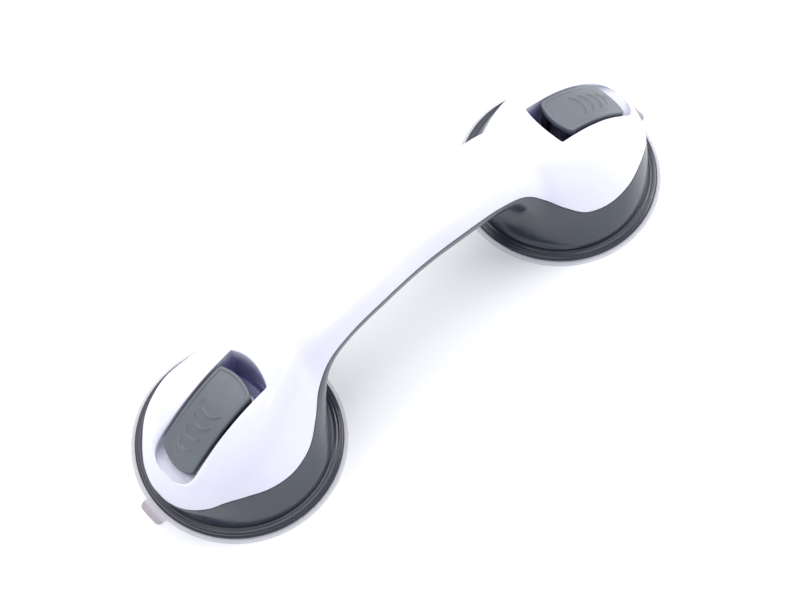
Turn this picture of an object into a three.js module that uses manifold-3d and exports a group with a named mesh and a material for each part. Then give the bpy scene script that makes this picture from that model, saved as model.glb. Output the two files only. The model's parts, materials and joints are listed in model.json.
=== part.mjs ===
// Suction grab bar: a two-shell handle bridging two lever-locked suction heads.
// Millimetres, +Z up. The origin is on the wall or floor plane, midway between the two heads.
// +X runs along the handle, and the two heads are the same part turned half a turn about Z.
import * as THREE from "three";
import { mergeVertices } from "three/addons/utils/BufferGeometryUtils.js";
import Module from "manifold-3d";

const wasm = await Module();
wasm.setup();

// ---- Driving dimensions ----
const HEAD_X = 98; // from the middle of the handle to each head's axis
const TOP_WALL = 2.4; // wall of the upper shell
const LOWER_WALL = 2.2; // wall of the lower shell
const SEAM_GAP = 0.5; // joint line between the two shells
const GAP = 0.3; // clearance between pieces that rest on each other

const SKIRT_RADIUS = 42; // bottom edge of the lower shell round each head
const SKIRT_Z = 4.8;
const RING_RADIUS = 46.3; // the base ring's widest step
const WEB_BOTTOM = 7.8; // the base ring's inner plate
const WEB_TOP = 9.8;
const LIP_RADIUS = 48.1; // the suction cup's edge
const LIP_THICKNESS = 0.9;
const TAB_TIP = 52; // the release tab's end, from the head's axis
const TAB_HALF_WIDTH = 6.5;
const TAB_CORNER = 2.5;
const TAB_ROOT = 45; // where the tab's drawing starts, inside the lip
const CUP_TOP = 5.3;

const PIN_Z = 47.5; // the lever's hinge, on the head's axis
const PIN_RADIUS = 1.6;
const PIN_BORE = 1.9;
const PIN_LENGTH = 15.2;
const EYE_RADIUS = 4.2;
const STEM_HALF_Y = 3.8;
const STEM_HOLE_X = 9.6;
const STEM_HOLE_Y = 9;
const FOOT_RADIUS = 9;
const CAM_HIGH = 10.9; // cam radius under the pin with the lever down
const CAM_LOW = 6.5; // cam radius under the pin with the lever up
const CAM_TURN = 75; // degrees from lever down to lever up
const CHEEK_INNER = 4.3;
const CHEEK_OUTER = 7.5;
const CHEEK_STEP = 7.5; // degrees between the points of the cam's spiral
const CHEEK_REAR = [-5.5, 7.5]; // the cheek's inner top corner, from the pin
const CHEEK_FRONT = [[3.5, -10.3], [9, -4], [15, -1], [12, 2]]; // its edge up to the cover, from the pin
const PLATE_TOP = 36; // bearing plate that the cam presses on
const PLATE_THICKNESS = 2;
const PLATE_SIDE = 21;

const FLOOR_TOP = PLATE_TOP - PLATE_THICKNESS - GAP; // floor of the lever pocket
const POCKET_WALL = 2.2;
const POCKET_HALF_WIDTH = 11.6;
const POCKET_INNER = -12.4; // the pocket's inner corners
const POCKET_STRAIGHT = 31; // where its sides start to curve
const POCKET_OUTER = 38.5;
const SCOOP = [[12, FLOOR_TOP], [26, 25], [34, 24.5], [45, 31]]; // its floor's drop at the outer end
const LEVER_HALF_WIDTH = 10;
const LEVER_INNER = -4.8; // the lever's inner corners
const LEVER_OUTER = 30.5;
const END_BULGE = 5; // how far the end curves' handles stand out of the corners
const LEVER_ARCH = [[-10, 59.2], [12.75, 55.6], [36, 27.6]]; // start, handle and end of its top line
const LEVER_THICKNESS = 4.2;
const LEVER_SKIRT = 5;
const SKIRT_WALL = 1.6;

const SCREW_PLACES = [[-12, 11], [-12, -11], [20, 11], [20, -11]];
const SCREW_RADIUS = 1.5;
const SCREW_HEAD_RADIUS = 3;
const SCREW_HEAD_BOTTOM = 5.7;
const SCREW_TIP = 22;
const RECESS_LENGTH = 4.2; // the screw head's crossed recess
const RECESS_WIDTH = 0.8;
const BOSS_RADIUS = 3.6;

const CLEAR_UP = 90; // height that every cutting tool reaches
const ROUND = 36; // segments of a large round piece
const SMALL_ROUND = 16; // segments of a small round piece
const STATION_STEP = 0.5; // along the seam, in seam points
const RIB_STEPS = 6; // across each half of the upper shell
const DROP_STEPS = 5; // down the lower shell

// The joint line between the shells, from mid-handle to the outer end: [x, half width, height].
const SEAM = [
  [0, 14.9, 61.1], [23.4, 16.1, 61.6], [43.7, 16.9, 58.7], [57.4, 18.1, 52.6], [66.7, 21.1, 42.2],
  [74, 26.7, 33.6], [83.3, 32.4, 25.4], [94.8, 35.5, 23.5], [107, 35.2, 25.3], [117.2, 31.6, 26.6],
  [125.5, 27.1, 25.3], [132, 22.1, 19.8], [138.2, 14.6, 15.6], [141.5, 6.1, 13.6], [142, 0, 13.2],
];
// The upper shell's ridge in the middle plane: [x, height].
const RIDGE = [
  [0, 75], [30, 74.3], [55, 71], [72, 66.6], [85, 62], [93, 59.2], [100, 56.3], [109, 51.2],
  [118, 45], [128, 36.6], [135, 29.6], [140, 21.5], [142, 13.2],
];
// The lower shell's keel in the middle plane, down to the skirt's inner edge: [x, height].
const KEEL = [[0, 48], [20, 47.8], [38, 46], [51.5, 40], [58.5, 26], [HEAD_X - SKIRT_RADIUS, SKIRT_Z]];
const NECK_START = 2; // the seam point where the handle starts to bend down
const KEEL_END = 4.5; // the seam point above the keel's lower end
const SKIRT_MERGE = 6.5; // the seam point from which the skirt runs straight down
const HEAD_LEAN = 18; // degrees that the heads' sides lean in
const SKIRT_LEAN = 8;
const LEAN_START = 45;
const LEAN_END = 80;
const ARCH_PULL = 0.58; // handle length of the curves, as a part of their height or width
const DROP_PULL = 0.4;
const HANDLE_PULL = 0.6; // the lower shell is fuller along the handle, as far as the neck
const SKIRT_PULL = 0.28;

const WHITE = { color: 0xf2f2f4, roughness: 0.15, metalness: 0 };
const DARK_GREY = { color: 0x4a4e57, roughness: 0.25, metalness: 0 };
const MID_GREY = { color: 0x80868c, roughness: 0.5, metalness: 0 };
const CLEAR = { color: 0xe9e4ea, roughness: 0.2, metalness: 0, transparent: true, opacity: 0.5 };
const STEEL = { color: 0x8f9096, roughness: 0.35, metalness: 1 };
const BLACK = { color: 0x26262a, roughness: 0.4, metalness: 0 };

// ---- Small helpers ----
const radians = (degrees) => (degrees * Math.PI) / 180;
const mix = (a, b, t) => a + (b - a) * t;

function smoothStep(t) {
  const c = Math.min(1, Math.max(0, t));
  return c * c * (3 - 2 * c);
}

// A smooth curve through points, where before and after are the neighbours past its two ends.
// The result takes the place along the list: 0 at the first point, 1 at the second, and so on.
function smoothCurve(before, points, after) {
  const curve = new THREE.CatmullRomCurve3([before, ...points, after]);
  const spans = points.length + 1;
  return (place) => curve.getPoint((place + 1) / spans);
}

function vectors(rows) {
  return rows.map((row) => new THREE.Vector3(row[0], row[1], row[2] ?? 0));
}

// ---- Solids ----
function solid(geometry, weld = 1e-4) {
  const bare = geometry.clone();
  bare.deleteAttribute("normal");
  bare.deleteAttribute("uv");
  const merged = mergeVertices(bare, weld);
  const corners = [];
  for (let i = 0; i < merged.index.count; i += 3) {
    const [a, b, c] = [0, 1, 2].map((k) => merged.index.getX(i + k));
    if (a !== b && b !== c && c !== a) corners.push(a, b, c);
  }
  const vertProperties = merged.attributes.position.array;
  const mesh = new wasm.Mesh({ numProp: 3, vertProperties, triVerts: new Uint32Array(corners) });
  return new wasm.Manifold(mesh);
}

function solidFromTriangles(points) {
  return solid(new THREE.BufferGeometry().setFromPoints(points), 1e-3);
}

function geometryOf(manifold) {
  const mesh = manifold.getMesh();
  const geometry = new THREE.BufferGeometry();
  geometry.setAttribute("position", new THREE.BufferAttribute(mesh.vertProperties, 3));
  geometry.setIndex(new THREE.BufferAttribute(mesh.triVerts, 1));
  geometry.computeVertexNormals();
  return geometry;
}

function cylinder(radius, bottom, top, x = 0, y = 0, sides = SMALL_ROUND) {
  const geometry = new THREE.CylinderGeometry(radius, radius, top - bottom, sides);
  geometry.rotateX(Math.PI / 2).translate(x, y, (top + bottom) / 2);
  return solid(geometry);
}

function crossCylinder(radius, length, z) {
  const geometry = new THREE.CylinderGeometry(radius, radius, length, SMALL_ROUND);
  return solid(geometry.translate(0, 0, z));
}

function box(width, depth, bottom, top) {
  return solid(new THREE.BoxGeometry(width, depth, top - bottom).translate(0, 0, (top + bottom) / 2));
}

// A turned piece: profile rows are [radius, height], once round its section.
function turned(profile) {
  const points = profile.map(([r, z]) => new THREE.Vector2(r, z));
  const geometry = new THREE.LatheGeometry(points, ROUND);
  return solid(geometry.rotateX(Math.PI / 2));
}

// An outline seen from above, drawn up from bottom to top.
function plan(shape, bottom, top) {
  const options = { depth: top - bottom, bevelEnabled: false, curveSegments: 6 };
  const geometry = new THREE.ExtrudeGeometry(shape, options);
  return solid(geometry.translate(0, 0, bottom));
}

// An outline seen from the side, in x and z, drawn from y = from to y = to.
function side(shape, from, to) {
  const options = { depth: to - from, bevelEnabled: false, curveSegments: 8 };
  const geometry = new THREE.ExtrudeGeometry(shape, options);
  return solid(geometry.rotateX(Math.PI / 2).translate(0, to, 0));
}

// ---- The shells' outer surface ----
const seamPoints = vectors(SEAM.map(([x, width, z]) => [x, -width, z]));
const seamAt = smoothCurve(
  new THREE.Vector3(-SEAM[1][0], -SEAM[1][1], SEAM[1][2]),
  seamPoints,
  new THREE.Vector3(SEAM.at(-2)[0], SEAM.at(-2)[1], SEAM.at(-2)[2]),
);
const ridgeAt = smoothCurve(
  new THREE.Vector3(-RIDGE[1][0], RIDGE[1][1], 0),
  vectors(RIDGE),
  new THREE.Vector3(RIDGE.at(-2)[0], 2 * RIDGE.at(-1)[1] - RIDGE.at(-2)[1], 0),
);
const keelAt = smoothCurve(
  new THREE.Vector3(-KEEL[1][0], KEEL[1][1], 0),
  vectors(KEEL),
  new THREE.Vector3(KEEL.at(-1)[0] - 3.4, KEEL.at(-1)[1] - 20, 0),
);

// The ridge's height over x, by halving the interval.
function ridgeHeight(x) {
  let low = 0;
  let high = RIDGE.length - 1;
  for (let i = 0; i < 40; i += 1) {
    const middle = (low + high) / 2;
    if (ridgeAt(middle).x < x) low = middle;
    else high = middle;
  }
  return ridgeAt(high).y;
}

function bezier(a, b, c, d, t) {
  return new THREE.CubicBezierCurve3(a, b, c, d).getPoint(t);
}

// Direction up the upper shell where it leaves the seam.
function rise(x) {
  const lean = radians(HEAD_LEAN) * smoothStep((x - LEAN_START) / (LEAN_END - LEAN_START));
  return new THREE.Vector3(0, Math.sin(lean), Math.cos(lean));
}

// A point of the upper shell on the -y side: across is 0 at the seam and 1 on the ridge.
function upperPoint(place, across) {
  const foot = seamAt(place);
  const crown = new THREE.Vector3(foot.x, 0, ridgeHeight(foot.x));
  const first = foot.clone().addScaledVector(rise(foot.x), ARCH_PULL * (crown.z - foot.z));
  const second = new THREE.Vector3(foot.x, ARCH_PULL * foot.y, crown.z);
  return bezier(foot, first, second, crown, across);
}

function skirtAngle(place) {
  const foot = seamAt(place);
  const above = Math.atan2(foot.y, foot.x - HEAD_X);
  const share = Math.min(1, (place - KEEL_END) / (SKIRT_MERGE - KEEL_END));
  return mix(-Math.PI, above, share * (2 - share));
}

function skirtPoint(angle) {
  return new THREE.Vector3(HEAD_X + SKIRT_RADIUS * Math.cos(angle), SKIRT_RADIUS * Math.sin(angle), SKIRT_Z);
}

// The lower shell's far edge under a seam point, its direction there, and its curve's pull.
function lowerEnd(place) {
  const turn = smoothStep((place - KEEL_END + 1) / 2);
  const level = new THREE.Vector3(0, 1, 0);
  const pull = mix(DROP_PULL, SKIRT_PULL, turn);
  if (place <= KEEL_END) {
    const along = (place / KEEL_END) * (KEEL.length - 1);
    const keel = keelAt(along);
    const step = keelAt(along + 1e-3).sub(keelAt(along - 1e-3)).normalize();
    const heading = level.lerp(new THREE.Vector3(step.x, 0, step.y), turn).normalize();
    return { point: new THREE.Vector3(keel.x, 0, keel.y), heading, pull };
  }
  const angle = skirtAngle(place);
  const lean = radians(SKIRT_LEAN);
  const down = new THREE.Vector3(
    Math.cos(angle) * Math.sin(lean),
    Math.sin(angle) * Math.sin(lean),
    -Math.cos(lean),
  );
  return { point: skirtPoint(angle), heading: level.lerp(down, turn).normalize(), pull };
}

// A point of the lower shell on the -y side: down is 0 at the seam and 1 at its far edge.
function lowerPoint(place, down) {
  const foot = seamAt(place);
  const along = seamAt(place + 1e-3).sub(seamAt(place - 1e-3));
  const outward = along.cross(rise(foot.x)).normalize();
  const end = lowerEnd(place);
  const reach = end.point.clone().sub(foot);
  const length = reach.length();
  const leave = reach.clone().addScaledVector(outward, -reach.dot(outward)).normalize();
  const start = foot.clone().addScaledVector(leave, SEAM_GAP);
  const neck = smoothStep((place - NECK_START) / (KEEL_END - NECK_START));
  const first = start.clone().addScaledVector(leave, mix(HANDLE_PULL, DROP_PULL, neck) * length);
  const second = end.point.clone().addScaledVector(end.heading, -end.pull * length);
  return bezier(start, first, second, end.point, down);
}

// The point under a surface point by the wall's thickness, measured square to the surface.
function innerPoint(pointAt, wall, place, across) {
  const point = pointAt(place, across);
  const step = 1e-3;
  const last = SEAM.length - 1;
  if (place > last - step) return point.add(new THREE.Vector3(-Math.abs(wall), 0, 0));
  const along = pointAt(place + step, across).sub(pointAt(place - step, across));
  const upward = pointAt(place, across + step).sub(pointAt(place, across - step));
  const normal = along.cross(upward).normalize();
  if (Math.abs(point.y) < step) normal.setY(0).normalize();
  return point.addScaledVector(normal, wall);
}

function quarterGrid(pointAt, steps) {
  const stations = Math.round((SEAM.length - 1) / STATION_STEP);
  const grid = [];
  for (let i = 0; i <= stations; i += 1) {
    const row = [];
    for (let j = 0; j <= steps; j += 1) row.push(pointAt(i * STATION_STEP, j / steps));
    grid.push(row);
  }
  grid[0].forEach((point) => point.setX(0));
  return grid;
}

// A wall between a quarter's outer and inner grids, mirrored to all four quarters.
// open(i) says whether the wall's last row has a free edge between stations i and i + 1.
function mirroredWall(pointAt, wall, steps, facing, open) {
  const outer = quarterGrid(pointAt, steps);
  const inner = quarterGrid((place, across) => innerPoint(pointAt, wall, place, across), steps);
  const triangles = [];
  const quad = (corners, turn) => {
    const [a, b, c, d] = corners;
    triangles.push(...(turn ? [a, b, c, a, c, d] : [a, c, b, a, d, c]));
  };
  for (const [flipX, flipY] of [[1, 1], [-1, 1], [1, -1], [-1, -1]]) {
    const put = (point) => new THREE.Vector3(point.x * flipX, point.y * flipY || 0, point.z);
    const turn = flipX * flipY * facing > 0;
    for (let i = 0; i + 1 < outer.length; i += 1) {
      for (let j = 0; j < steps; j += 1) {
        quad([outer[i][j], outer[i + 1][j], outer[i + 1][j + 1], outer[i][j + 1]].map(put), turn);
        quad([inner[i][j], inner[i + 1][j], inner[i + 1][j + 1], inner[i][j + 1]].map(put), !turn);
      }
      quad([outer[i][0], outer[i + 1][0], inner[i + 1][0], inner[i][0]].map(put), !turn);
      if (!open(i)) continue;
      quad([outer[i][steps], outer[i + 1][steps], inner[i + 1][steps], inner[i][steps]].map(put), turn);
    }
  }
  return solidFromTriangles(triangles);
}

// Everything under the upper shell's outer face on the +X head, down to the skirt's edge.
function underUpperShell() {
  const first = 5;
  const rings = [];
  for (let place = first; place <= SEAM.length - 1; place += STATION_STEP) {
    const half = [];
    for (let j = 0; j <= RIB_STEPS; j += 1) half.push(upperPoint(place, j / RIB_STEPS));
    half.unshift(half[0].clone().setZ(SKIRT_Z));
    const other = half.slice(0, -1).reverse();
    rings.push([...half, ...other.map((point) => new THREE.Vector3(point.x, -point.y || 0, point.z))]);
  }
  const triangles = [];
  const size = rings[0].length;
  for (let i = 0; i + 1 < rings.length; i += 1) {
    for (let j = 0; j < size; j += 1) {
      const k = (j + 1) % size;
      triangles.push(rings[i][j], rings[i + 1][j], rings[i + 1][k]);
      triangles.push(rings[i][j], rings[i + 1][k], rings[i][k]);
    }
  }
  for (let j = 1; j + 1 < size; j += 1) triangles.push(rings[0][0], rings[0][j], rings[0][j + 1]);
  return solidFromTriangles(triangles).translate([-HEAD_X, 0, 0]);
}

// ---- The lever pocket, about the head's axis ----
function pocketPlan(extra) {
  const shape = new THREE.Shape();
  const half = POCKET_HALF_WIDTH + extra;
  const inner = POCKET_INNER - extra;
  const outer = POCKET_OUTER + extra;
  shape.moveTo(inner, -half);
  shape.lineTo(POCKET_STRAIGHT, -half);
  shape.quadraticCurveTo(outer, -half + 1, outer, 0);
  shape.quadraticCurveTo(outer, half - 1, POCKET_STRAIGHT, half);
  shape.lineTo(inner, half);
  shape.quadraticCurveTo(inner - END_BULGE, 0, inner, -half);
  return shape;
}

function pocketSide(drop) {
  const shape = new THREE.Shape();
  shape.moveTo(-25, CLEAR_UP);
  shape.lineTo(-25, FLOOR_TOP - drop);
  for (const [x, z] of SCOOP) shape.lineTo(x, z - drop);
  shape.lineTo(SCOOP.at(-1)[0], CLEAR_UP);
  return shape;
}

function pocket(extra) {
  return plan(pocketPlan(extra), 0, CLEAR_UP).intersect(side(pocketSide(extra), -20, 20));
}

function stemHole() {
  return box(STEM_HOLE_X, STEM_HOLE_Y, 0, CLEAR_UP);
}

function upperShell() {
  let shell = mirroredWall(upperPoint, -TOP_WALL, RIB_STEPS, 1, () => false);
  const inside = underUpperShell();
  let tub = pocket(POCKET_WALL).intersect(inside);
  let cut = pocket(0).add(stemHole());
  for (const [x, y] of SCREW_PLACES) {
    tub = tub.add(cylinder(BOSS_RADIUS, WEB_TOP + GAP, FLOOR_TOP - 1, x, y));
    cut = cut.add(cylinder(SCREW_RADIUS + GAP, 0, SCREW_TIP + 2, x, y));
  }
  for (const turn of [0, 180]) {
    shell = shell.add(tub.translate([HEAD_X, 0, 0]).rotate([0, 0, turn]));
    shell = shell.subtract(cut.translate([HEAD_X, 0, 0]).rotate([0, 0, turn]));
  }
  return geometryOf(shell);
}

function lowerShell() {
  const keelStations = KEEL_END / STATION_STEP;
  return geometryOf(mirroredWall(lowerPoint, LOWER_WALL, DROP_STEPS, -1, (i) => i >= keelStations));
}

// ---- Pieces of one head, about its axis, with the handle towards -x ----
function baseRing() {
  let ring = turned([
    [9, WEB_BOTTOM], [36, WEB_BOTTOM], [37.5, 5.6], [41, 1.6], [RING_RADIUS, 1.3], [RING_RADIUS, 2.2],
    [45.6, 2.9], [44.9, 3], [44.5, 3.6], [43.4, 3.6], [43, SKIRT_Z - 2 * GAP], [38.6, SKIRT_Z - 2 * GAP],
    [37.2, WEB_TOP], [9, WEB_TOP], [9, WEB_BOTTOM],
  ]);
  for (const [x, y] of SCREW_PLACES) {
    ring = ring.subtract(cylinder(SCREW_RADIUS + 2 * GAP, 0, CLEAR_UP, x, y));
  }
  return ring;
}

function suctionCup() {
  const disc = turned([
    [0, 3.2], [18, 3.2], [30, 2.3], [38, 0.7], [43.5, 0], [LIP_RADIUS - 0.4, 0],
    [LIP_RADIUS, LIP_THICKNESS / 2], [LIP_RADIUS - 0.3, LIP_THICKNESS], [43, 1.1], [38, 2.3],
    [30, 4.2], [18, CUP_TOP], [0, CUP_TOP],
  ]);
  const corner = TAB_TIP - TAB_CORNER;
  const shape = new THREE.Shape();
  shape.moveTo(TAB_ROOT, -TAB_HALF_WIDTH);
  shape.lineTo(corner, -TAB_HALF_WIDTH);
  shape.quadraticCurveTo(TAB_TIP, -TAB_HALF_WIDTH, TAB_TIP, -TAB_HALF_WIDTH + TAB_CORNER);
  shape.lineTo(TAB_TIP, TAB_HALF_WIDTH - TAB_CORNER);
  shape.quadraticCurveTo(TAB_TIP, TAB_HALF_WIDTH, corner, TAB_HALF_WIDTH);
  shape.lineTo(TAB_ROOT, TAB_HALF_WIDTH);
  return disc.add(plan(shape, 0.1, LIP_THICKNESS + 0.1));
}

function pullStem() {
  const foot = cylinder(FOOT_RADIUS, CUP_TOP + GAP, WEB_BOTTOM - 2 * GAP);
  const post = box(2 * EYE_RADIUS, 2 * STEM_HALF_Y, WEB_BOTTOM - 3 * GAP, PIN_Z);
  const eye = crossCylinder(EYE_RADIUS, 2 * STEM_HALF_Y, PIN_Z);
  return foot.add(post).add(eye).subtract(crossCylinder(PIN_BORE, 4 * STEM_HALF_Y, PIN_Z));
}

function camPlate() {
  const plate = box(PLATE_SIDE, PLATE_SIDE, PLATE_TOP - PLATE_THICKNESS, PLATE_TOP);
  return plate.subtract(stemHole());
}

function leverPlan() {
  const shape = new THREE.Shape();
  shape.moveTo(LEVER_INNER, -LEVER_HALF_WIDTH);
  shape.lineTo(LEVER_OUTER, -LEVER_HALF_WIDTH);
  shape.quadraticCurveTo(LEVER_OUTER + END_BULGE, 0, LEVER_OUTER, LEVER_HALF_WIDTH);
  shape.lineTo(LEVER_INNER, LEVER_HALF_WIDTH);
  shape.quadraticCurveTo(LEVER_INNER - END_BULGE, 0, LEVER_INNER, -LEVER_HALF_WIDTH);
  return shape;
}

// The lever's arched cover seen from the side. Its lower line sags by the depth past its thickness.
function leverSide(depth) {
  const [start, handle, end] = LEVER_ARCH;
  const sag = 1.6 * depth - 0.6 * LEVER_THICKNESS;
  const shape = new THREE.Shape();
  shape.moveTo(...start);
  shape.quadraticCurveTo(...handle, ...end);
  shape.lineTo(end[0], end[1] - LEVER_THICKNESS);
  shape.quadraticCurveTo(handle[0], handle[1] - sag, start[0], start[1] - LEVER_THICKNESS);
  return shape;
}

// The cam cheek: a spiral about the pin, largest straight below it, joined up into the cover.
function cheekSide() {
  const shape = new THREE.Shape();
  shape.moveTo(CHEEK_REAR[0], PIN_Z + CHEEK_REAR[1]);
  for (let turn = CAM_TURN + 2 * CHEEK_STEP; turn >= 0; turn -= CHEEK_STEP) {
    const radius = mix(CAM_HIGH, CAM_LOW, Math.min(1, turn / CAM_TURN));
    const angle = radians(-90 - turn);
    shape.lineTo(radius * Math.cos(angle), PIN_Z + radius * Math.sin(angle));
  }
  for (const [x, z] of CHEEK_FRONT) shape.lineTo(x, PIN_Z + z);
  return shape;
}

function lever() {
  const half = LEVER_HALF_WIDTH;
  const cover = side(leverSide(LEVER_THICKNESS), -half, half);
  const deep = side(leverSide(LEVER_SKIRT), -half, half);
  const between = side(leverSide(2 * LEVER_SKIRT), SKIRT_WALL - half, half - SKIRT_WALL);
  let body = deep.subtract(between).add(cover).intersect(plan(leverPlan(), 0, CLEAR_UP));
  for (const y of [CHEEK_INNER, -CHEEK_OUTER]) {
    body = body.add(side(cheekSide(), y, y + CHEEK_OUTER - CHEEK_INNER));
  }
  return body.subtract(crossCylinder(PIN_BORE, 2 * CHEEK_OUTER + 1, PIN_Z));
}

function screw(x, y) {
  const head = cylinder(SCREW_HEAD_RADIUS, SCREW_HEAD_BOTTOM, WEB_BOTTOM - GAP, x, y);
  const shank = cylinder(SCREW_RADIUS, WEB_BOTTOM - 2 * GAP, SCREW_TIP, x, y);
  const depth = SCREW_HEAD_BOTTOM + RECESS_WIDTH;
  const slot = box(RECESS_LENGTH, RECESS_WIDTH, 0, depth).translate([x, y, 0]);
  const cross = box(RECESS_WIDTH, RECESS_LENGTH, 0, depth).translate([x, y, 0]);
  return head.add(shank).subtract(slot).subtract(cross);
}

// ---- Assembly ----
function named(name, geometry, look) {
  const mesh = new THREE.Mesh(geometry, new THREE.MeshStandardMaterial(look));
  mesh.name = name;
  return mesh;
}

function head(label, turn) {
  const group = new THREE.Group();
  group.add(named(label + "_base_ring", geometryOf(baseRing()), DARK_GREY));
  group.add(named(label + "_suction_cup", geometryOf(suctionCup()), CLEAR));
  group.add(named(label + "_pull_stem", geometryOf(pullStem()), BLACK));
  group.add(named(label + "_cam_plate", geometryOf(camPlate()), STEEL));
  group.add(named(label + "_lever", geometryOf(lever()), MID_GREY));
  const pin = crossCylinder(PIN_RADIUS, PIN_LENGTH, PIN_Z);
  group.add(named(label + "_lever_pin", geometryOf(pin), STEEL));
  SCREW_PLACES.forEach(([x, y], index) => {
    group.add(named(label + "_screw_" + (index + 1), geometryOf(screw(x, y)), STEEL));
  });
  group.position.x = turn === 0 ? HEAD_X : -HEAD_X;
  group.rotation.z = radians(turn);
  return group;
}

const grabBar = new THREE.Group();
grabBar.add(named("upper_shell", upperShell(), WHITE));
grabBar.add(named("lower_shell", lowerShell(), DARK_GREY));
grabBar.add(head("left", 180));
grabBar.add(head("right", 0));

export default grabBar;
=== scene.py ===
"""The suction grab bar's looks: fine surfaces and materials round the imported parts.

Shapes are drawn in millimetres and turned into metres when a mesh is made. Pieces of a head are drawn
about that head's axis with the handle towards -x. The right head's axis is at its lever's joint, and the
left head is the same, turned half a turn.
"""

import json
import math

import bmesh
import bpy
import numpy as np
from mathutils import Matrix, Vector


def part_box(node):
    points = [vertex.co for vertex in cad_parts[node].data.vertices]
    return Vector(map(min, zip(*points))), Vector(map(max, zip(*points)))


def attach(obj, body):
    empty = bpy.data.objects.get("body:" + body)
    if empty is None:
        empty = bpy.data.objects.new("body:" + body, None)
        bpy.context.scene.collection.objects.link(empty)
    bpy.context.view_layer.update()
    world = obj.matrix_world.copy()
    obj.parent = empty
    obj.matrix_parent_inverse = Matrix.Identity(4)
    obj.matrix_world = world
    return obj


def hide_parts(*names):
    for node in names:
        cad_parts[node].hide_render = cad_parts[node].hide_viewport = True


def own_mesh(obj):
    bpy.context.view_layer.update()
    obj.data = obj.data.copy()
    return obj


MM = 0.001

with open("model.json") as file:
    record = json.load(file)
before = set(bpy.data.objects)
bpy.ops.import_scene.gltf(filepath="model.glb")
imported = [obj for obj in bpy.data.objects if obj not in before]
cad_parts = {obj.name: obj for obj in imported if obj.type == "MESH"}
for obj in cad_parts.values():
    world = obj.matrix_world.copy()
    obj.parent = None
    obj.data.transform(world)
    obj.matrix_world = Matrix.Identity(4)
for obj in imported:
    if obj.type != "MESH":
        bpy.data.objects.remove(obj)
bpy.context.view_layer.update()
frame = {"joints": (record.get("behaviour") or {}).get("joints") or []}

# ---- Sizes read from the frame ----
HINGE = next(j for j in frame["joints"] if j["name"] == "right_lever_hinge")
HEAD_X = HINGE["pos_m"][0] / MM
PIN_Z = HINGE["pos_m"][2] / MM
ENDS = {"left": 180, "right": 0}  # degrees that each head is turned about Z


def box_mm(node):
    """A node's lowest and highest corners in millimetres, about the right head's axis."""
    low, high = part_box(node)
    shift = Vector((HEAD_X, 0, 0))
    return low / MM - shift, high / MM - shift


RING_LOW, RING_HIGH = box_mm("right_base_ring")
CUP_HIGH = box_mm("right_suction_cup")[1]
STEM_LOW, STEM_HIGH = box_mm("right_pull_stem")
PLATE_LOW, PLATE_HIGH = box_mm("right_cam_plate")
LEVER_HIGH = box_mm("right_lever")[1]
PIN_HIGH = box_mm("right_lever_pin")[1]
SCREW_LOW, SCREW_HIGH = box_mm("right_screw_1")
SKIRT_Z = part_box("lower_shell")[0].z / MM

# ---- Driving dimensions of the shells, the same as the part's except for the joint line's gap ----
TOP_WALL = 2.4
LOWER_WALL = 2.2
SEAM_GAP = 0.25  # half of the part's, for a fine joint line
SKIRT_RADIUS = 42

# From the middle of the bar to its end: (x, half width, height) of the joint line between the shells,
# and (x, height) of the bar's top and of the handle's underside along the middle plane.
SEAM = [
    (0, 14.9, 61.1), (23.4, 16.1, 61.6), (43.7, 16.9, 58.7), (57.4, 18.1, 52.6), (66.7, 21.1, 42.2),
    (74, 26.7, 33.6), (83.3, 32.4, 25.4), (94.8, 35.5, 23.5), (107, 35.2, 25.3), (117.2, 31.6, 26.6),
    (125.5, 27.1, 25.3), (132, 22.1, 19.8), (138.2, 14.6, 15.6), (141.5, 6.1, 13.6), (142, 0, 13.2),
]
RIDGE = [
    (0, 75), (30, 74.3), (55, 71), (72, 66.6), (85, 62), (93, 59.2), (100, 56.3), (109, 51.2),
    (118, 45), (128, 36.6), (135, 29.6), (140, 21.5), (142, 13.2),
]
KEEL = [(0, 48), (20, 47.8), (38, 46), (51.5, 40), (58.5, 26), (HEAD_X - SKIRT_RADIUS, SKIRT_Z)]

# Places along the joint line, counted in its points.
NECK_START = 2  # where the handle starts to bend down
KEEL_END = 4.5  # above the keel's lower end
SKIRT_MERGE = 6.5  # from where the skirt runs straight down

HEAD_LEAN = math.radians(18)  # how far the heads' sides lean in
SKIRT_LEAN = math.radians(8)
LEAN_START, LEAN_END = 45, 80  # along x, where that lean grows
# Handle lengths of the shells' curves, as parts of their height or length.
ARCH_PULL, HANDLE_PULL, DROP_PULL, SKIRT_PULL = 0.58, 0.6, 0.4, 0.28

STATIONS = 12  # along the seam, between two seam points
UPPER_RIBS = 30
LOWER_RIBS = 24
EDGE = 0.35  # rounding of the moulded edges
EDGE_POINTS = 5  # along such a rounding
SKIRT_EDGE = 0.6
ROUND = 192  # segments of a large round piece
SMALL_ROUND = 48
WELD, SLIVER = 4e-7, 1e-7  # metres

# ---- The lever pocket and what it holds ----
FLOOR_TOP = PLATE_LOW.z - 0.3
POCKET_WALL = 2.2
POCKET_HALF_WIDTH = 11.6
POCKET_INNER, POCKET_STRAIGHT, POCKET_TIP = -12.4, 31, 38.5  # along the head, from its axis
POCKET_CORNER = 1.2
POCKET_COVER = 0.4  # least depth of the floor under the shell's surface
POCKET_FOOT = 1.2  # rounding where the wall meets the floor
POCKET_RIM = 0.5  # rounding where the wall meets the surface
SCOOP_FOOT, SCOOP_REACH, SCOOP_RIM = 1.5, 2.4, 2.2  # what the finger scoop adds to the roundings
SCOOP_START, SCOOP_LENGTH = 22, 12  # along the head, where its foot grows
RIM_START, RIM_LENGTH = 12, 20  # and where its rim grows
CUTTER_TOP = 90
SCREW_PLACES = [(-12, 11), (-12, -11), (20, 11), (20, -11)]
STEM_HOLE = (9.6, 9.0)
STEM_EYE = 4.2  # radius of the stem's round top
PIN_BORE = 1.9

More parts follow.
